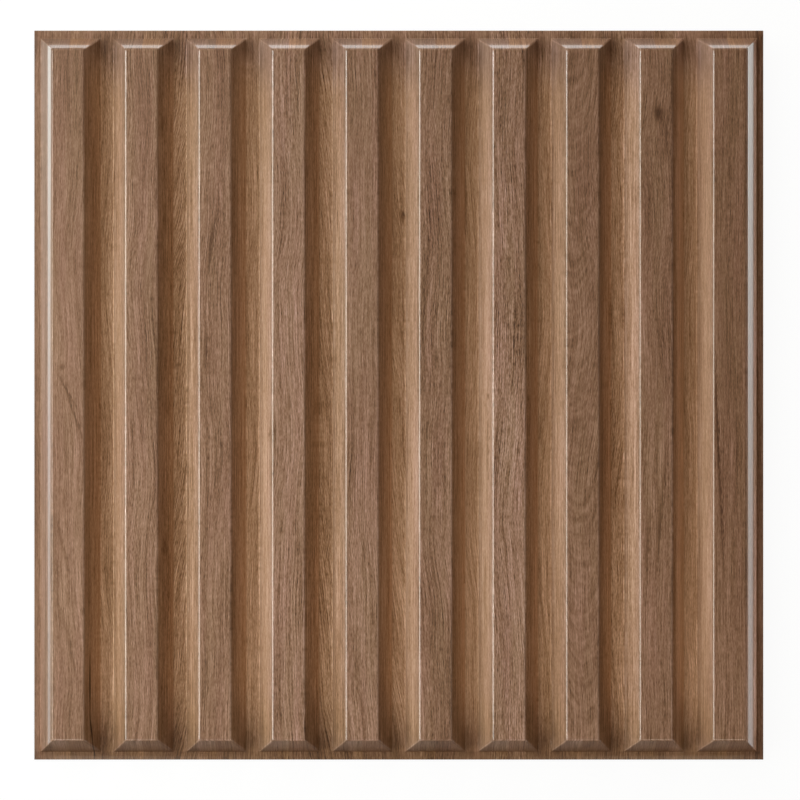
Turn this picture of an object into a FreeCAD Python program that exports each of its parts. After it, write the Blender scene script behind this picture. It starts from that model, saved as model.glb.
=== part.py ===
"""Fluted wall panel: one square tile, vacuum formed from a single thin sheet of rigid PVC.

The tile lies on its back. X runs across the ribs, Y along them and Z up, out of the wall. The origin is
the middle of the back face. Every rib is a long hollow ridge with a flat crown and four sloping walls, and
it rises from the flat web that lies between the ribs and round the tile as its flange. Sizes are in mm.
"""

import math
import os

import FreeCAD
import Part

# The tile. Its two long sides run down the middle of a flute, so the pitch carries on into the next tile.
rib_count = 10
rib_pitch = 50.0
tile_length = 500.0
sheet_thickness = 1.0

# The face side of a rib, measured at the sharp corners that its rounded edges replace.
rib_rise = 15.0
flute_floor_width = 9.0
end_flange_width = 5.4
wall_run = 9.5

# Rounded edges of the face side. The back of the sheet follows them one thickness further in.
rib_edge_radius = 2.0
foot_radius = 1.0

# The share of a flat that the rounding of one edge may use up before the radius is held back.
usable_share = 0.4
# How near a height has to be to a plane to count as lying in it.
on_plane = 1e-4
# How far the solid that cuts out a hollow reaches below the back of the sheet.
cut_below = 1.0

tile_width = rib_count * rib_pitch
rib_foot_width = rib_pitch - flute_floor_width
rib_foot_length = tile_length - 2 * end_flange_width
rib_crown_width = rib_foot_width - 2 * wall_run
crown_height = sheet_thickness + rib_rise
wall_angle = math.atan2(rib_rise, wall_run)
wall_slant = math.hypot(rib_rise, wall_run)


def radius_within(wanted, flat):
    """The wanted radius, or the largest whose rounding keeps to its share of the flat beside it."""
    return min(wanted, usable_share * flat / math.tan(wall_angle / 2))


def ridge(depth, foot_height, top_height, edge_radius):
    """A solid ridge whose walls lie that depth under the rib's face, with its hips and crown rounded."""
    def half_size(height):
        spread = (sheet_thickness - height) / math.tan(wall_angle) - depth / math.sin(wall_angle)
        return rib_foot_width / 2 + spread, rib_foot_length / 2 + spread

    foot_x, foot_y = half_size(foot_height)
    top_x, top_y = half_size(top_height)
    solid = Part.makeWedge(
        -foot_x, foot_height, -foot_y, -top_y, -top_x, foot_x, top_height, foot_y, top_y, top_x
    )
    solid.rotate(FreeCAD.Vector(0, 0, 0), FreeCAD.Vector(1, 0, 0), 90)
    edges = [e for e in solid.Edges if e.BoundBox.ZMax > top_height - on_plane]
    return solid.makeFillet(edge_radius, edges)


def round_foot(solid, height, radius):
    """The solid with the edges rounded where a rib's walls meet the level plane at that height."""
    foot_edges = [
        e
        for e in solid.Edges
        if abs(e.BoundBox.ZMin - height) < on_plane
        and abs(e.BoundBox.ZMax - height) < on_plane
        and abs(e.BoundBox.Center.x) < rib_foot_width / 2 + on_plane
        and abs(e.BoundBox.Center.y) < rib_foot_length / 2 + on_plane
    ]
    return solid.makeFillet(radius, foot_edges)


def rib_strip():
    """One pitch of the tile: a hollow rib with its share of the web on all four sides."""
    face_radius = radius_within(rib_edge_radius, min(rib_crown_width, wall_slant))
    back_radius = max(face_radius - sheet_thickness, face_radius / 4)
    foot_flat = min(flute_floor_width, 2 * end_flange_width, wall_slant)
    face_foot_radius = radius_within(foot_radius, foot_flat)
    back_foot_radius = radius_within(face_foot_radius + sheet_thickness, foot_flat)

    web = Part.makeBox(rib_pitch, tile_length, sheet_thickness)
    web.translate(FreeCAD.Vector(-rib_pitch / 2, -tile_length / 2, 0))
    rib = ridge(0, sheet_thickness, crown_height, face_radius)
    outside = round_foot(web.fuse(rib).removeSplitter(), sheet_thickness, face_foot_radius)
    hollow = ridge(sheet_thickness, -cut_below, crown_height - sheet_thickness, back_radius)
    return round_foot(outside.cut(hollow), 0, back_foot_radius)


def fluted_panel():
    """The whole tile: the strips side by side, joined into one sheet."""
    strips = [rib_strip() for _ in range(rib_count)]
    for index, strip in enumerate(strips):
        strip.translate(FreeCAD.Vector((index + 0.5) * rib_pitch - tile_width / 2, 0, 0))
    return strips[0].multiFuse(strips[1:]).removeSplitter() if rib_count > 1 else strips[0]


os.makedirs("parts", exist_ok=True)
panel = fluted_panel()
panel.exportStep("parts/fluted_panel.step")
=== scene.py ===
import math

import bmesh
import bpy
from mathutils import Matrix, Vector


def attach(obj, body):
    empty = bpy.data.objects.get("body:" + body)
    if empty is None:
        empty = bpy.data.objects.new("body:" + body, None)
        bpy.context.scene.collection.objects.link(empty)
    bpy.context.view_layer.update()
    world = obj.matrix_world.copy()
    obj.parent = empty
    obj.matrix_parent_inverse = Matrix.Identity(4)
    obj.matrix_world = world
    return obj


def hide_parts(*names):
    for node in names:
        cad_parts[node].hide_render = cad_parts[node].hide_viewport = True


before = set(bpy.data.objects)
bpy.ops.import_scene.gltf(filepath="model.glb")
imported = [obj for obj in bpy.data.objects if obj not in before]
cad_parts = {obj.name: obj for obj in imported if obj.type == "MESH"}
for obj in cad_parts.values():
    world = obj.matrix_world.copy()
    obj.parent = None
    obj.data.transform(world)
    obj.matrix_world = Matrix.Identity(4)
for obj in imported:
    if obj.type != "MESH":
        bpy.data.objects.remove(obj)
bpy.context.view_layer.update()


# The panel: one square wall tile of rigid PVC sheet, 1 mm thick, with a printed wood-grain film on its face.
# The flat sheet is heated and drawn by vacuum over a mould, which leaves ten hollow ribs with flat crowns on a
# flat flange. It is glued to the wall by the flange and the flute floors.
PANEL_SIDE = 0.500
RIB_COUNT = 10
SHEET_THICKNESS = 0.001
RIB_RISE = 0.015
SIDE_FLANGE = 0.0045
END_FLANGE = 0.0054
WALL_RUN = 0.0095
CROWN_EDGE_RADIUS = 0.002
CROWN_EDGE_SEGMENTS = 5
FOOT_RADIUS = 0.001
FOOT_SEGMENTS = 3
ROW_SPACING = 0.005
SAME_LEVEL = 1e-5
LEVEL_NORMAL = 0.9

wall_turn = math.atan2(RIB_RISE, WALL_RUN)
flange_level = SHEET_THICKNESS
crown_level = SHEET_THICKNESS + RIB_RISE
panel_bm = bmesh.new()
bmesh.ops.create_grid(panel_bm, x_segments=RIB_COUNT, y_segments=1, size=PANEL_SIDE / 2)
bmesh.ops.translate(panel_bm, verts=panel_bm.verts, vec=(0, 0, flange_level))
ribs = panel_bm.faces[:]
bmesh.ops.inset_individual(panel_bm, faces=ribs, thickness=SIDE_FLANGE, use_even_offset=True)
for end in (-1, 1):
    end_corners = [v for f in ribs for v in f.verts if v.co.y * end > 0]
    bmesh.ops.translate(panel_bm, verts=list(set(end_corners)), vec=(0, end * (SIDE_FLANGE - END_FLANGE), 0))
bmesh.ops.inset_individual(panel_bm, faces=ribs, thickness=WALL_RUN, depth=RIB_RISE, use_even_offset=True)

feet = [
    e for e in panel_bm.edges
    if any(f.normal.z < LEVEL_NORMAL for f in e.link_faces)
    and all(v.co.z < flange_level + SAME_LEVEL for v in e.verts)
]
bmesh.ops.bevel(
    panel_bm, geom=feet, offset=FOOT_RADIUS * math.tan(wall_turn / 2), offset_type="OFFSET",
    segments=FOOT_SEGMENTS, profile=0.5, affect="EDGES", material=-1,
)
crown_edges = [e for e in panel_bm.edges if any(v.co.z > crown_level - SAME_LEVEL for v in e.verts)]
bmesh.ops.bevel(
    panel_bm, geom=crown_edges, offset=CROWN_EDGE_RADIUS * math.tan(wall_turn / 2), offset_type="OFFSET",
    segments=CROWN_EDGE_SEGMENTS, profile=0.5, affect="EDGES", material=-1,
)
rows = round(PANEL_SIDE / ROW_SPACING)
for row in range(1, rows):
    cut = Vector((0, PANEL_SIDE * (row / rows - 0.5), 0))
    everything = panel_bm.verts[:] + panel_bm.edges[:] + panel_bm.faces[:]
    bmesh.ops.bisect_plane(panel_bm, geom=everything, dist=1e-6, plane_co=cut, plane_no=(0, 1, 0))
for face in panel_bm.faces:
    face.smooth = True

panel_mesh = bpy.data.meshes.new("fluted_wall_panel")
panel_bm.to_mesh(panel_mesh)
panel_bm.free()
panel = bpy.data.objects.new("fluted_wall_panel", panel_mesh)
bpy.context.collection.objects.link(panel)
thickness = panel.modifiers.new("sheet thickness", "SOLIDIFY")
thickness.thickness = SHEET_THICKNESS
thickness.offset = -1
thickness.use_even_offset = True
thickness.material_offset = 1
thickness.material_offset_rim = 1
normals = panel.modifiers.new("flat faces stay flat", "WEIGHTED_NORMAL")
normals.keep_sharp = True


def linear(hex_colour):
    """An sRGB hex colour as the linear RGBA that the shaders take."""
    channels = [int(hex_colour[i:i + 2], 16) / 255 for i in (0, 2, 4)]
    return [c / 12.92 if c <= 0.04045 else ((c + 0.055) / 1.055) ** 2.4 for c in channels] + [1]


def add(tree, kind, inputs=(), **properties):
    """Adds a node. Its inputs are a list in the sockets' order, or a dict by number or name. An input that is
    given a node or a node's output is linked to it, any other is set. Of a node the first output in use counts."""
    made = tree.nodes.new("ShaderNode" + kind)
    for name, value in properties.items():
        setattr(made, name, value)
    for key, value in inputs.items() if isinstance(inputs, dict) else enumerate(inputs):
        if isinstance(value, bpy.types.Node):
            value = next(output for output in value.outputs if output.enabled)
        if isinstance(value, bpy.types.NodeSocket):
            tree.links.new(value, made.inputs[key])
        else:
            made.inputs[key].default_value = value
    return made


# Wood-grain PVC film, gravure printed in browns and lacquered: a matt print under a thin satin skin. Where the
# sheet was drawn down into the flutes the film is stretched, so its print is lighter there and its fibres run long.
# All places in it are in mm: x across the ribs, y along them and z up from the back of the sheet.
film = bpy.data.materials.new("pvc_wood_grain_film")
film.use_nodes = True
t = film.node_tree
t.nodes.clear()
HALF_PITCH = 25.0
place = add(t, "TexCoord")
mm = add(t, "VectorMath", {0: place.outputs["Object"], "Scale": 1000}, operation="SCALE")
x_mm, y_mm, z_mm = add(t, "SeparateXYZ", [mm]).outputs
flat_mm = add(t, "Mapping", {"Vector": mm, "Scale": (1, 1, 0)})
from_middle = add(t, "Math", [x_mm], operation="ABSOLUTE")
along = add(t, "Math", [y_mm], operation="ABSOLUTE")
upper = add(t, "Math", [y_mm, 0.0], operation="GREATER_THAN")
# Across is 0 in the middle of each flute, above 0 up to the rib on its right and below 0 to the one on its left.
across = add(t, "Math", [x_mm, HALF_PITCH, -HALF_PITCH], operation="WRAP")
left_of_rib = add(t, "Math", [across, 0.0], operation="GREATER_THAN")
right_of_rib = add(t, "Math", [across, 0.0], operation="LESS_THAN")

# Where the film is drawn: on the walls and most of all at their feet. It is drawn less towards the ends of the
# ribs, and that fall, cut aslant across the flutes, is partly the film drawn less and partly painted shade at the
# flute ends.
off_crown = add(t, "MapRange", [z_mm, 15.8, 15.3, 0.0, 1.0])
on_wall = add(t, "MapRange", [z_mm, 1.2, 2.4, 0.0, 1.0])
on_wall = add(t, "Math", [on_wall, off_crown], operation="MULTIPLY")
not_flat = add(t, "MapRange", [z_mm, 1.0, 1.5, 0.0, 1.0])
in_flute = add(t, "MapRange", [z_mm, 1.6, 3.5, 1.0, 0.0])
inside = add(t, "MapRange", [from_middle, 238.0, 234.0, 0.0, 1.0])
to_end = add(t, "Math", [upper, 1.6, -0.9], operation="MULTIPLY_ADD")
to_end = add(t, "Math", [across, to_end, along], operation="MULTIPLY_ADD")
to_end = add(t, "Math", [upper, -3.0, to_end], operation="MULTIPLY_ADD")
between_shaded_ends = add(t, "MapRange", [to_end, 241.0, 200.0, 0.0, 1.0], interpolation_type="SMOOTHSTEP")
drawn = add(t, "MapRange", [z_mm, 15.5, 4.0, 0.3, 1.0])
for share in (off_crown, between_shaded_ends, inside):
    drawn = add(t, "Math", [drawn, share], operation="MULTIPLY")

# How far a point lies past the hip, where a rib's side wall meets its end wall, and the masks of the walls.
past_hip = add(t, "Math", [across], operation="ABSOLUTE")
past_hip = add(t, "Math", [past_hip, 14.0], operation="MINIMUM")
past_hip = add(t, "Math", [past_hip, along], operation="ADD")
past_hip = add(t, "Math", [past_hip, 249.1], operation="SUBTRACT")
end_wall = add(t, "MapRange", [past_hip, -0.2, 0.2, 0.0, 1.0])
end_wall = add(t, "Math", [end_wall, not_flat], operation="MULTIPLY")
upper_end = add(t, "Math", [end_wall, upper], operation="MULTIPLY")
lower_end = add(t, "Math", [end_wall, upper_end], operation="SUBTRACT")
off_ends = add(t, "Math", [1.0, end_wall], operation="SUBTRACT")
left_wall = add(t, "Math", [left_of_rib, on_wall], operation="MULTIPLY")
left_side_wall = add(t, "Math", [left_wall, off_ends], operation="MULTIPLY")
far_left = add(t, "MapRange", [x_mm, -236.0, -237.0, 0.0, 1.0])
far_right = add(t, "MapRange", [x_mm, 236.0, 237.0, 0.0, 1.0])
far_right = add(t, "Math", [far_right, off_ends], operation="MULTIPLY")
far_right_wall = add(t, "Math", [far_right, not_flat], operation="MULTIPLY")

# Slow changes over the board: the width and length of their cells, and where the panel lies in their noise.
slow = {}
for name, width, length, offset in (
    ("lean", 130, 150, (2.3, 5.1, 0)), ("sway", 12, 60, (7, 3, 0)),
    ("crowd", 21, 150, (4, 8, 0)), ("rosy", 9, 110, (17, 23, 0)),
):
    field = add(t, "Mapping", {"Vector": flat_mm, "Scale": (1 / width, 1 / length, 1), "Location": offset})
    slow[name] = add(t, "TexNoise", {"Vector": field, "Scale": 1, "Detail": 1, "Roughness": 0.5}, label=name)

# Each rib and flute shows another strip of the board. From the left, rib and flute in turn: how strong the fibres
# are, how far they lean from the ribs (0.5 is straight, more rises to the left) and how light the strip is.
strips = (
    (0.70, 0.50, 0.98), (0.80, 0.50, 0.90), (0.88, 0.50, 0.98), (1.05, 0.33, 0.87), (0.92, 0.50, 0.96),
    (0.76, 0.50, 1.08), (1.00, 0.50, 1.07), (1.00, 0.62, 0.95), (0.90, 0.50, 1.00), (0.80, 0.60, 1.04),
    (1.08, 0.50, 0.96), (0.62, 0.50, 1.06), (1.15, 0.50, 1.12), (0.77, 0.50, 1.07), (0.76, 0.50, 0.98),
    (0.92, 0.50, 1.09), (0.88, 0.50, 0.92), (0.60, 0.50, 1.20), (0.78, 0.50, 0.91),
)
RAMP_TOP = 2.0
half_row = HALF_PITCH / 2 * len(strips)
strip = add(t, "MapRange", [x_mm, -half_row, half_row, 0.0, 1.0])
strip = add(t, "ValToRGB", [strip])
strip.color_ramp.interpolation = "CONSTANT"
steps = strip.color_ramp.elements
steps.remove(steps[1])
for order, (strong, leaning, light) in enumerate(strips):
    step = steps[0] if order == 0 else steps.new(order / len(strips))
    step.color = (strong / RAMP_TOP, leaning, light / RAMP_TOP, 1)
strip_strength, strip_lean, strip_light = add(t, "SeparateColor", [strip]).outputs

# The grain leans and sways a little, as in a sawn board, and leans less on the last rib. On the walls it is drawn
# out straight.
slant = add(t, "Math", [strip_lean, 0.5], operation="SUBTRACT")
slant = add(t, "Math", [slant, in_flute], operation="MULTIPLY")
slant_run = add(t, "Math", [y_mm, 0.8], operation="MULTIPLY")
lean_mm = add(t, "Math", [slow["lean"], 26.0, -14.5], operation="MULTIPLY_ADD")
lean_mm = add(t, "Math", [slant, slant_run, lean_mm], operation="MULTIPLY_ADD")
upright = add(t, "MapRange", [x_mm, 205.0, 213.0, 1.0, 0.25])
lean_mm = add(t, "Math", [lean_mm, upright], operation="MULTIPLY")
aside = add(t, "Math", [slow["sway"], 3.0, lean_mm], operation="MULTIPLY_ADD")
straight = add(t, "MapRange", [on_wall, 0.0, 1.0, 1.0, 0.04])
aside = add(t, "Math", [aside, straight], operation="MULTIPLY")
aside = add(t, "CombineXYZ", [aside])
grain = add(t, "VectorMath", [flat_mm, aside], operation="ADD")

# Each layer of the print: cell width and length in mm, and its strength on the crowns and webs and on the walls.
layers = (
    ("tone", 30.0, 260.0, 0.7, 0.3),
    ("streak", 3.5, 80.0, 0.7, 0.4),
    ("long_fibre", 0.5, 90.0, 1.5, 1.2),
    ("fibre", 0.55, 16.0, 1.25, 0.95),
    ("short_fibre", 0.5, 4.5, 1.15, 0.75),
    ("fleck", 0.45, 2.0, 0.85, 0.55),
)
shade = 0.0
fine = {}
for order, (name, width, length, strength, wall_strength) in enumerate(layers):
    layer = add(t, "Mapping", {
        "Vector": grain, "Scale": (1 / width, 1 / length, 1), "Location": (13 * order, 7 * order, 0),
    })
    layer = add(t, "TexNoise", {"Vector": layer, "Scale": 1, "Detail": 0, "Roughness": 0.5}, label=name)
    amount = add(t, "MapRange", [on_wall, 0.0, 1.0, strength, wall_strength])
    level = add(t, "Math", [layer, 0.5], operation="SUBTRACT")
    shade = add(t, "Math", [level, amount, shade], operation="MULTIPLY_ADD")
    fine[name] = layer

# Rib 8 is cut from the board's crown: its figure opens upwards in soft arcs about 5 mm apart, and slants above.
figure_x = add(t, "Math", [x_mm, 124.0], operation="SUBTRACT")
arc = add(t, "Math", [figure_x, 2.0], operation="POWER")
arc = add(t, "Math", [arc, -0.12, y_mm], operation="MULTIPLY_ADD")
steep = add(t, "MapRange", [y_mm, -110.0, 0.0, 0.1, -1.2])
arc = add(t, "Math", [figure_x, steep, arc], operation="MULTIPLY_ADD")
arc = add(t, "Math", [slow["sway"], 16.0, arc], operation="MULTIPLY_ADD")
cell_x = add(t, "Math", [figure_x, 0.07], operation="MULTIPLY")
cell_y = add(t, "Math", [arc, 0.19], operation="MULTIPLY")
figure = add(t, "CombineXYZ", [cell_x, cell_y])
figure = add(t, "TexNoise", {"Vector": figure, "Scale": 1, "Detail": 1, "Roughness": 0.6})
on_rib = add(t, "Math", [figure_x], operation="ABSOLUTE")
on_rib = add(t, "MapRange", [on_rib, 13.0, 10.0, 0.0, 1.35])
figure = add(t, "Math", [figure, 0.5], operation="SUBTRACT")
shade = add(t, "Math", [figure, on_rib, shade], operation="MULTIPLY_ADD")

# The ink takes the strip's contrast and lightness. The power gives it few light fibres and many dark ones.
SKEW = 1.4
contrast = add(t, "Math", [strip_strength, RAMP_TOP / SKEW], operation="MULTIPLY")
shade = add(t, "Math", [shade, contrast, 1.0], operation="MULTIPLY_ADD")
shade = add(t, "Math", [shade, SKEW], operation="POWER")
lightness = add(t, "Math", [strip_light, RAMP_TOP], operation="MULTIPLY")
shade = add(t, "Math", [shade, lightness], operation="MULTIPLY")

# Open pores: short dark dashes, dense in some bands of the board and few in others, and drawn out on the walls.
pore = add(t, "Mapping", {"Vector": grain, "Scale": (1 / 0.8, 1 / 9, 1), "Location": (31, 9, 0)})
pore = add(t, "TexNoise", {"Vector": pore, "Scale": 1, "Detail": 0, "Roughness": 0.5})
pore = add(t, "MapRange", [pore, 0.56, 0.70, 0.0, 1.0])
crowd = add(t, "MapRange", [slow["crowd"], 0.35, 0.65, 0.0, 0.1])
crowd = add(t, "Math", [in_flute, 0.09, crowd], operation="MULTIPLY_ADD")
bare_wall = add(t, "MapRange", [on_wall, 0.0, 1.0, 1.0, 0.1])
for share in (crowd, bare_wall):
    pore = add(t, "Math", [pore, share], operation="MULTIPLY")
pore_dark = add(t, "Math", [1.0, pore], operation="SUBTRACT")
shade = add(t, "Math", [shade, pore_dark], operation="MULTIPLY")

# A thin light line at the foot of each left wall is a painted highlight on the concave corner there.
foot_highlight = add(t, "Math", [across, 4.3], operation="SUBTRACT")
foot_highlight = add(t, "Math", [foot_highlight], operation="ABSOLUTE")
foot_highlight = add(t, "MapRange", [foot_highlight, 0.15, 0.5, 0.48, 0.0])
foot_top = add(t, "MapRange", [y_mm, 243.0, 240.0, 0.0, 1.0])
foot_bottom = add(t, "MapRange", [y_mm, -235.0, -190.0, 0.0, 1.0])
for share in (foot_top, foot_bottom):
    foot_highlight = add(t, "Math", [foot_highlight, share], operation="MULTIPLY")
foot_highlight = add(t, "Math", [foot_highlight, inside, 1.0], operation="MULTIPLY_ADD")

# A painted highlight, a light line, follows the lower crown edges and runs down the hips. It is faint on the lower
# part of the right hips.
hip_highlight = add(t, "Math", [past_hip, 0.3], operation="ADD")
hip_highlight = add(t, "Math", [hip_highlight], operation="ABSOLUTE")
hip_highlight = add(t, "MapRange", [hip_highlight, 0.35, 0.8, 0.32, 0.0])
hip_share = add(t, "MapRange", [across, -13.0, -12.0, 1.0, 0.25])
hip_share = add(t, "Math", [hip_share, left_of_rib], operation="MAXIMUM")
lower_half = add(t, "Math", [1.0, upper], operation="SUBTRACT")
for share in (hip_share, lower_half):
    hip_highlight = add(t, "Math", [hip_highlight, share], operation="MULTIPLY")
hip_highlight = add(t, "Math", [hip_highlight, not_flat, 1.0], operation="MULTIPLY_ADD")

# Painted shade: each flute is dark at both ends at the foot of its left-hand side. The left walls of the ribs
# darken towards both ends.
corner_x = add(t, "Math", [across, 1 / 7.5, 3.5 / 7.5], operation="MULTIPLY_ADD")
corner_y = add(t, "Math", [along, 1 / 13, -240 / 13], operation="MULTIPLY_ADD")
corner = add(t, "CombineXYZ", [corner_x, corner_y])
corner = add(t, "VectorMath", [corner], operation="LENGTH")
corner = add(t, "MapRange", [corner, 0.2, 1.1, 0.70, 1.0], interpolation_type="SMOOTHSTEP")
wall_end = add(t, "MapRange", [y_mm, -130.0, -210.0, 1.0, 0.83])
wall_top = add(t, "MapRange", [y_mm, 130.0, 190.0, 1.0, 0.93])
wall_end = add(t, "Math", [wall_end, wall_top], operation="MULTIPLY")

# The side flanges are a little darker. Painted shade darkens the lower flange and the lower end walls, and also the
# crowns at their upper ends, the upper end walls in their lower half and along the crown, and the flutes at both
# ends.
rim_flat = add(t, "MapRange", [from_middle, 245.0, 246.0, 1.0, 0.9])
lower_flat_shade = add(t, "MapRange", [y_mm, -244.0, -245.0, 1.0, 0.82])
lower_wall_shade = add(t, "MapRange", [z_mm, 1.3, 13.5, 0.53, 0.71])
crown_top_shade = add(t, "MapRange", [y_mm, 170.0, 230.0, 1.0, 0.92])
crown_top_shade = add(t, "Mix", {0: off_crown, 2: crown_top_shade, 3: 1.0}, data_type="FLOAT")
upper_wall_shade = add(t, "MapRange", [z_mm, 7.0, 11.0, 0.67, 1.0])
upper_edge_shade = add(t, "MapRange", [z_mm, 14.4, 15.1, 1.0, 0.72])
above_crown = add(t, "MapRange", [y_mm, 234.0, 235.0, 0.0, 1.0])
flute_end_shade = add(t, "MapRange", [along, 226.0, 242.0, 1.1, 0.92])

# Painted shade darkens the tile's outer left wall and its crown edge. The wall also has a dark line at half its
# height, and its flange a dark outer edge.
outer_left_shade = add(t, "MapRange", [x_mm, -236.0, -237.0, 1.0, 0.87])
left_line = add(t, "Math", [z_mm, 7.3], operation="SUBTRACT")
left_line = add(t, "Math", [left_line], operation="ABSOLUTE")
left_line = add(t, "MapRange", [left_line, 0.4, 1.3, 0.78, 1.0])
left_rim = add(t, "MapRange", [x_mm, -249.2, -246.8, 0.68, 1.0])
left_edge = add(t, "Math", [z_mm, 15.4], operation="SUBTRACT")
left_edge = add(t, "Math", [left_edge], operation="ABSOLUTE")
left_edge = add(t, "MapRange", [left_edge, 0.3, 0.5, 0.72, 1.0])
on_left_edge = add(t, "MapRange", [x_mm, -234.5, -234.9, 0.0, 1.0])

# Painted light makes the outer right wall light in its lowest third and towards the bottom of the tile, and painted
# shade makes its foot and flange dark.
right_low = add(t, "MapRange", [z_mm, 5.5, 4.5, 1.0, 2.0])
right_bottom_light = add(t, "MapRange", [y_mm, -120.0, 150.0, 1.16, 1.0])
right_rim_shade = add(t, "MapRange", [x_mm, 245.3, 245.6, 1.0, 0.88])
right_foot_shade = add(t, "Math", [x_mm, 245.5], operation="SUBTRACT")
right_foot_shade = add(t, "Math", [right_foot_shade], operation="ABSOLUTE")
right_foot_shade = add(t, "MapRange", [right_foot_shade, 0.8, 1.1, 0.6, 1.0])

masked = [
    add(t, "Mix", {0: where, 2: 1.0, 3: factor}, data_type="FLOAT")
    for where, factor in (
        (off_ends, corner), (left_side_wall, wall_end), (lower_end, lower_wall_shade), (upper_end, upper_wall_shade),
        (above_crown, upper_edge_shade), (in_flute, flute_end_shade), (far_left, left_line), (on_left_edge, left_edge),
        (far_right_wall, right_low), (far_right_wall, right_bottom_light),
    )
]
for factor in masked + [
    foot_highlight, hip_highlight, rim_flat, lower_flat_shade, crown_top_shade, outer_left_shade, left_rim, right_rim_shade, right_foot_shade,
]:
    shade = add(t, "Math", [shade, factor], operation="MULTIPLY")

# Knots and dark streaks of the printed board, and broad darker and lighter patches, all with ragged edges: middle x
# and y, half width, half length, turn in degrees and darkness, which is below 0 where the patch is lighter. The
# long light patch on the right wall of rib 9, at x 189.5, is painted light from the right.
marks = (
    (-225.0, 2.0, 1.1, 19.0, 29.0, 0.50), (-221.2, -12.0, 1.2, 26.0, 19.0, 0.52),
    (-229.0, 18.5, 2.6, 3.0, 0.0, 0.40), (177.6, -85.0, 1.9, 60.0, -5.0, 0.48),
    (169.3, -99.0, 1.6, 36.0, -5.0, 0.40), (-223.0, -173.5, 1.9, 32.0, 12.0, 0.36),
    (-228.6, -102.0, 1.7, 26.0, 12.0, 0.30), (176.8, 191.5, 5.4, 11.0, 6.0, 0.44),
    (176.0, 191.5, 3.2, 6.5, 0.0, 0.50), (181.5, 176.0, 1.1, 14.0, 4.0, 0.45),
    (2.2, 123.5, 3.0, 7.5, 0.0, 0.45), (2.6, 123.5, 1.2, 4.5, 6.0, 0.50),
    (-126.5, 108.0, 2.0, 34.0, -9.0, 0.50), (-131.0, 34.0, 2.6, 13.0, 0.0, 0.35),
    (217.9, -56.0, 1.5, 95.0, 2.5, 0.66), (215.4, 5.0, 0.9, 50.0, 1.5, 0.40),
    (214.0, 150.0, 1.2, 34.0, 2.0, 0.45), (150.2, -59.0, 0.9, 22.0, -10.0, 0.45),
    (60.7, -0.7, 1.1, 3.2, 0.0, 0.45), (60.4, -38.0, 0.6, 36.0, 0.0, 0.35),
    (-88.3, -27.5, 1.0, 2.6, 0.0, 0.45), (-215.0, -147.0, 1.5, 5.0, 10.0, 0.45),
    (-74.5, -20.0, 0.9, 60.0, 1.5, 0.30), (-225.0, -155.0, 16.0, 100.0, 0.0, -0.20),
    (-175.0, -85.0, 15.0, 95.0, 0.0, -0.22), (-174.0, 185.0, 14.0, 75.0, 0.0, 0.16),
    (-76.0, 200.0, 14.0, 65.0, 0.0, -0.32), (-24.0, -110.0, 15.0, 110.0, 0.0, -0.20),
    (-26.0, 180.0, 14.0, 60.0, 0.0, 0.15), (74.0, 5.0, 15.0, 110.0, 0.0, -0.26),
    (226.0, 40.0, 14.0, 80.0, 0.0, 0.20), (209.5, 0.0, 8.0, 500.0, 0.0, 0.20),
    (189.5, 0.0, 5.5, 500.0, 0.0, -0.46), (109.5, 0.0, 8.0, 500.0, 0.0, 0.14),
    (150.0, -150.0, 9.0, 100.0, 0.0, -0.16), (25.0, -190.0, 16.0, 130.0, 0.0, 0.18),
    (25.0, 225.0, 16.0, 50.0, 0.0, 0.12), (124.0, 190.0, 15.0, 80.0, 0.0, 0.14),
    (225.0, -200.0, 14.0, 75.0, 0.0, -0.18), (225.0, 230.0, 14.0, 50.0, 0.0, -0.18),
    (-125.0, 228.0, 14.0, 50.0, 0.0, 0.12),
)
# A drying check runs down the lower end of the first flute, a hair wide, sharp and nearly black.
drying_check = (
    (-210.7, -198.0, 0.65, 27.0, 0.0, 0.90), (-209.9, -228.0, 0.65, 13.0, 4.9, 0.90),
    (-208.8, -244.5, 0.65, 9.0, 2.5, 0.90),
)
ragged = add(t, "Math", [fine["short_fibre"], 3.2, -1.6], operation="MULTIPLY_ADD")
ragged = add(t, "CombineXYZ", [ragged])
ragged = add(t, "VectorMath", [flat_mm, ragged], operation="ADD")
for table, ground, full_to, fade in (
    (marks, ragged, 0.2, "SMOOTHSTEP"), (drying_check, flat_mm, 0.3, "LINEAR"),
):
    for mark_x, mark_y, half_width, half_length, turn, dark in table:
        mark = add(t, "Mapping", {
            "Vector": ground, "Location": (mark_x, mark_y, 0), "Rotation": (0, 0, math.radians(turn)),
            "Scale": (half_width, half_length, 1),
        }, vector_type="TEXTURE")
        mark = add(t, "VectorMath", [mark], operation="LENGTH")
        mark = add(t, "MapRange", [mark, full_to, 1.1, 1 - dark, 1.0], interpolation_type=fade)
        shade = add(t, "Math", [shade, mark], operation="MULTIPLY")

# The print's two browns, on the flat and where it is drawn. Dense ink is browner, and thin ink shows the grey
# ground.
ink = add(t, "CombineXYZ", [add(t, "Math", [shade, power], operation="POWER") for power in (0.85, 1.05, 1.4)])
colour = add(t, "Mix", {0: drawn, 6: linear("82614B"), 7: linear("A07958")}, data_type="RGBA")
colour = add(t, "VectorMath", [colour, ink], operation="MULTIPLY")

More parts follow.
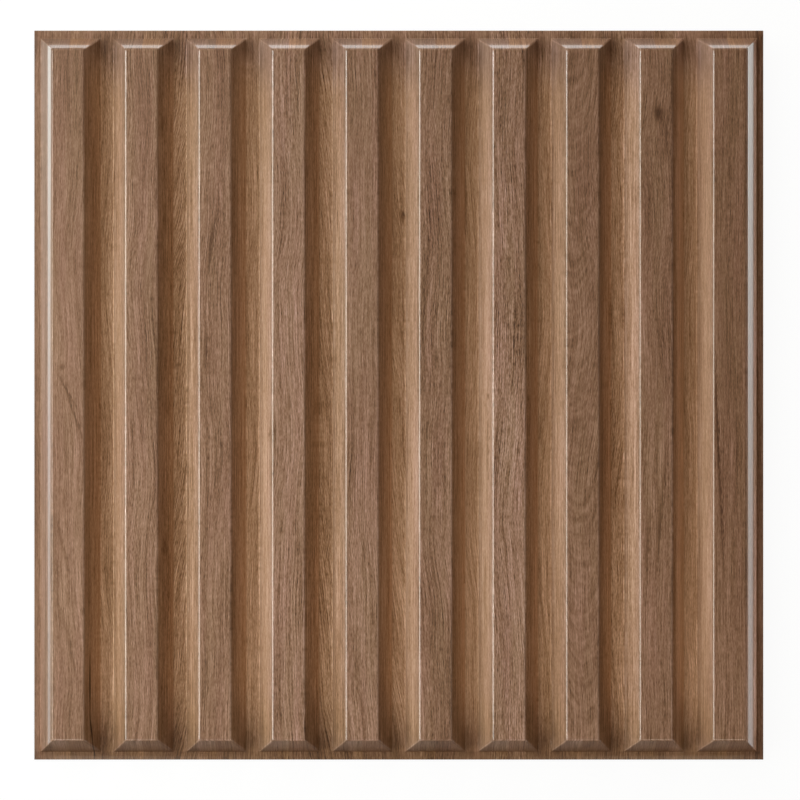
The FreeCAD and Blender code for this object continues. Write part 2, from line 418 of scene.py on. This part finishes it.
# Some bands of the board are rosier, less so where the film is drawn, and the drawn print is greyer in the flutes.
# Painted sheen makes the left walls hazier, and painted shade makes the right walls browner going up and the lower
# ends browner. The colour turns a little redder towards the right, and painted light makes it lighter towards the
# bottom.
white = (1, 1, 1, 1)
rosy = add(t, "MapRange", [slow["rosy"], 0.3, 0.7, 0.0, 1.0])
plain = add(t, "MapRange", [drawn, 0.0, 1.0, 0.0, 0.7])
rosy = add(t, "Mix", {0: plain, 2: rosy, 3: 0.5}, data_type="FLOAT")
shade_brown_wall = add(t, "MapRange", [z_mm, 4.0, 13.0, 0.0, 1.0])
for share in (inside, right_of_rib, off_crown):
    shade_brown_wall = add(t, "Math", [shade_brown_wall, share], operation="MULTIPLY")
shade_brown_end = add(t, "MapRange", [y_mm, -205.0, -230.0, 0.0, 1.0])
for share in (off_ends, off_crown, inside):
    shade_brown_end = add(t, "Math", [shade_brown_end, share], operation="MULTIPLY")
grey_flute = add(t, "Mix", {0: in_flute, 6: white, 7: (1.0, 1.03, 1.04, 1)}, data_type="RGBA")
to_right = add(t, "MapRange", [x_mm, 40.0, 240.0, 0.0, 1.0])
for where, off_tint, on_tint in (
    (rosy, (0.985, 1.01, 0.97, 1), (1.015, 0.99, 1.03, 1)),
    (left_wall, white, (0.97, 1.06, 1.26, 1)),
    (shade_brown_wall, white, (0.92, 0.87, 0.77, 1)),
    (shade_brown_end, white, (0.96, 0.93, 0.80, 1)),
    (drawn, white, grey_flute),
    (to_right, white, (1.0, 0.965, 0.93, 1)),
):
    tint = add(t, "Mix", {0: where, 6: off_tint, 7: on_tint}, data_type="RGBA")
    colour = add(t, "VectorMath", [colour, tint], operation="MULTIPLY")
painted_light_down = add(t, "MapRange", [y_mm, 250.0, -150.0, 0.92, 1.09])
colour = add(t, "VectorMath", {0: colour, "Scale": painted_light_down}, operation="SCALE")

# A band at half the height of the outer walls, where they lean away from the tile. It reaches lower on the right.
band_from = add(t, "MapRange", [far_right, 0.0, 1.0, 9.9, 5.0])
band = add(t, "Math", [z_mm, band_from], operation="SUBTRACT")
band = add(t, "MapRange", [band, 0.0, 1.4, 0.0, 1.0])
band_to = add(t, "MapRange", [y_mm, 90.0, 150.0, 14.5, 15.1])
band_to = add(t, "Mix", {0: far_right, 2: band_to, 3: 13.8}, data_type="FLOAT")
band_top = add(t, "Math", [band_to, z_mm], operation="SUBTRACT")
band_top = add(t, "MapRange", [band_top, 0.0, 0.5, 0.0, 1.0])
band = add(t, "Math", [band, band_top], operation="MULTIPLY")

# A painted reflection whitens the film on the outer walls, more towards their upper ends, and on the right in its
# band alone, with a painted highlight line near the band's top.
left_reflection = add(t, "MapRange", [y_mm, -100.0, 200.0, 0.0, 1.0])
reflection_band = add(t, "MapRange", [band, 0.0, 1.0, 0.05, 0.30])
for share in (off_ends, far_left, not_flat, reflection_band):
    left_reflection = add(t, "Math", [left_reflection, share], operation="MULTIPLY")
right_reflection = add(t, "MapRange", [y_mm, -100.0, 200.0, 0.0, 0.34])
highlight_line = add(t, "MapRange", [z_mm, 11.8, 12.6, 1.0, 2.0])
for share in (far_right, highlight_line, band):
    right_reflection = add(t, "Math", [right_reflection, share], operation="MULTIPLY")
painted_reflection = add(t, "Math", [left_reflection, right_reflection], operation="ADD")
colour = add(t, "Mix", {0: painted_reflection, 6: colour, 7: linear("DEDEDA")}, data_type="RGBA")

# The lacquer is full on the crowns and their left edges and thinner down the walls, where the film is drawn. The
# outer walls of the tile keep a full band at half their height, but not the lower ones.
round_over = add(t, "MapRange", [z_mm, 15.95, 15.6, 0.0, 0.75])
off_rib_ends = add(t, "MapRange", [along, 236.0, 234.0, 0.0, 1.0])
for share in (off_rib_ends, right_of_rib):
    round_over = add(t, "Math", [round_over, share], operation="MULTIPLY")
skin = add(t, "Math", [1.0, round_over], operation="SUBTRACT")
down_wall = add(t, "MapRange", [z_mm, 13.0, 14.0, 0.05, 0.22])
off_sides = add(t, "MapRange", [from_middle, 234.5, 235.5, 1.0, 0.4])
off_top = add(t, "MapRange", [y_mm, 233.2, 234.2, 1.0, 0.15])
for share in (down_wall, off_sides, off_top):
    skin = add(t, "Math", [skin, share], operation="MULTIPLY")
rim = add(t, "MapRange", [from_middle, 236.5, 238.0, 0.0, 1.0])
rim = add(t, "Math", [rim, off_ends], operation="MULTIPLY")
rim = add(t, "Math", [rim, upper_end], operation="MAXIMUM")
left_less = add(t, "MapRange", [far_left, 0.0, 1.0, 1.0, 0.86])
right_less = add(t, "MapRange", [y_mm, -120.0, 150.0, 0.82, 1.0])
right_less = add(t, "Mix", {0: far_right, 2: 1.0, 3: right_less}, data_type="FLOAT")
for share in (band, left_less, right_less):
    rim = add(t, "Math", [rim, share], operation="MULTIPLY")
skin = add(t, "Math", [skin, rim], operation="MAXIMUM")
below = add(t, "MapRange", [lower_end, 0.0, 1.0, 1.0, 0.1])
skin = add(t, "Math", [skin, below], operation="MULTIPLY")

emboss = add(t, "Math", [pore, -0.10], operation="MULTIPLY")
relief = add(t, "Bump", {"Height": emboss, "Strength": 1, "Distance": 0.001})
lacquer = add(t, "BsdfPrincipled", {
    "Base Color": colour, "Roughness": 0.6, "IOR": 1.5, "Specular IOR Level": 0.3,
    "Coat Weight": skin, "Coat Roughness": 0.2, "Coat IOR": 3.0, "Normal": relief, "Coat Normal": relief,
})
add(t, "OutputMaterial", {"Surface": lacquer})
panel_mesh.materials.append(film)

# Rigid PVC, calendered: the bare back of the sheet and its cut edge, a plain grey-brown plastic with the faint
# flow marks of the rolls.
bare = bpy.data.materials.new("rigid_pvc_calendered")
bare.use_nodes = True
t = bare.node_tree
t.nodes.clear()
place = add(t, "TexCoord")
flow = add(t, "Mapping", {"Vector": place.outputs["Object"], "Scale": (220, 60, 220)})
flow = add(t, "TexNoise", {"Vector": flow, "Scale": 1, "Detail": 3, "Roughness": 0.5})
bare_colour = add(t, "Mix", {0: flow, 6: linear("6E4E37"), 7: linear("7C5A41")}, data_type="RGBA")
flow_relief = add(t, "Bump", {"Height": flow, "Strength": 0.2, "Distance": 0.0002})
plastic = add(t, "BsdfPrincipled", {
    "Base Color": bare_colour, "Roughness": 0.5, "IOR": 1.53, "Normal": flow_relief,
})
add(t, "OutputMaterial", {"Surface": plastic})
panel_mesh.materials.append(bare)

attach(panel, "root")
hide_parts("fluted_panel")

# The floor: a plain white paper sweep that the panel lies on, with its back down. It is a hair lower than the
# back, so that the two don't meet. The camera sees it mostly as plain white, with a trace of the shadow.
FLOOR_HALF_SIDE = 12
FLOOR_DROP = 0.0002
FLOOR_WHITE = 0.92
floor_bm = bmesh.new()
bmesh.ops.create_grid(floor_bm, x_segments=1, y_segments=1, size=FLOOR_HALF_SIDE)
bmesh.ops.translate(floor_bm, verts=floor_bm.verts, vec=(0, 0, -FLOOR_DROP))
floor_mesh = bpy.data.meshes.new("floor")
floor_bm.to_mesh(floor_mesh)
floor_bm.free()
floor = bpy.data.objects.new("floor", floor_mesh)
bpy.context.collection.objects.link(floor)
sweep = bpy.data.materials.new("white_paper_sweep")
sweep.use_nodes = True
t = sweep.node_tree
t.nodes.clear()
paper = add(t, "BsdfDiffuse", {"Color": linear("F4F4F4")})
plain_white = add(t, "Emission", {"Color": (1, 1, 1, 1), "Strength": 1})
ray = add(t, "LightPath")
seen = add(t, "Math", [ray.outputs["Is Camera Ray"], ray.outputs["Is Glossy Ray"]], operation="ADD")
seen = add(t, "Math", [seen, ray.outputs["Is Transmission Ray"]], operation="ADD")
seen = add(t, "Math", [seen, FLOOR_WHITE], operation="MULTIPLY")
shown = add(t, "MixShader", [seen, paper, plain_white])
add(t, "OutputMaterial", {"Surface": shown})
floor_mesh.materials.append(sweep)

# The light: a bank of soft boxes 1.5 m away, most of them on the left, with weaker ones on the right. Each has its
# place round the panel and above the floor in degrees, its width and height, its power and its tint.
LAMP_DISTANCE = 1.5
cool, faint, warm, amber = "E6F5FF", "F8FBF2", "FFF8EE", "FFF2DE"
for name, azimuth, elevation, width, height, watts, tint in (
    ("softbox_left", 180, 27, 1.10, 0.70, 21.0, faint),
    ("softbox_left_high", 210, 48, 0.45, 0.45, 1.6, cool),
    ("softbox_upper_left", 150, 33, 0.45, 0.45, 6.6, cool),
    ("softbox_top", 120, 33, 0.45, 0.45, 6.8, warm),
    ("softbox_top_low", 90, 8, 0.45, 0.45, 12.0, warm),
    ("softbox_lower_left", 240, 33, 0.45, 0.45, 1.2, warm),
    ("softbox_lower_left_high", 240, 48, 0.45, 0.45, 2.8, warm),
    ("softbox_lower_right", 300, 48, 0.45, 0.45, 2.6, amber),
    ("softbox_right", 330, 48, 0.45, 0.45, 1.0, amber),
    ("softbox_upper_right", 60, 33, 0.45, 0.45, 1.1, amber),
    ("softbox_right_low", 0, 33, 0.45, 0.45, 0.7, amber),
):
    lamp = bpy.data.lights.new(name, "AREA")
    lamp.shape = "RECTANGLE"
    lamp.size, lamp.size_y = width, height
    lamp.energy = watts
    lamp.color = linear(tint)[:3]
    box = bpy.data.objects.new(name, lamp)
    bpy.context.collection.objects.link(box)
    turn, tilt = math.radians(azimuth), math.radians(elevation)
    box.location = (
        LAMP_DISTANCE * math.cos(turn) * math.cos(tilt), LAMP_DISTANCE * math.sin(turn) * math.cos(tilt),
        LAMP_DISTANCE * math.sin(tilt),
    )
    box.rotation_euler = box.location.to_track_quat("Z", "Y").to_euler()

# A low light strip stands on the floor along the right side, just out of view: it lights the outer wall alone,
# and the lacquer doesn't mirror it.
low_strip = bpy.data.lights.new("edge_strip", "AREA")
low_strip.shape = "RECTANGLE"
low_strip.size, low_strip.size_y = 0.62, 0.004
low_strip.energy = 0.10
low_strip_box = bpy.data.objects.new("edge_strip", low_strip)
bpy.context.collection.objects.link(low_strip_box)
low_strip_box.location = (0.305, 0.0, 0.003)
low_strip_box.visible_glossy = False
low_strip_box.rotation_euler = (math.radians(90), 0, math.radians(90))

# The air round the panel: nearly white to the camera and almost dark to everything else, so that the soft boxes
# light the panel.
AIR_WHITE = 0.90
AIR_LIGHT = 0.02
world = bpy.data.worlds.new("studio")
bpy.context.scene.world = world
world.use_nodes = True
t = world.node_tree
t.nodes.clear()
ray = add(t, "LightPath")
seen = add(t, "Math", [ray.outputs["Is Camera Ray"], AIR_WHITE, AIR_LIGHT], operation="MULTIPLY_ADD")
air = add(t, "Background", {"Color": (1, 1, 1, 1), "Strength": seen})
add(t, "OutputWorld", {"Surface": air})

# The camera: straight above the panel, a little left of and below its middle, with the lens shifted to centre it.
camera_data = bpy.data.cameras.new("camera")
camera = bpy.data.objects.new("camera", camera_data)
bpy.context.collection.objects.link(camera)
camera.location = (-0.014, -0.0275, 1.6)
camera_data.sensor_width = 36
camera_data.lens = 104.9
camera_data.shift_x = 0.027
camera_data.shift_y = 0.044
camera_data.clip_start = 0.05
bpy.context.scene.camera = camera

bpy.context.scene.view_settings.view_transform = "Standard"
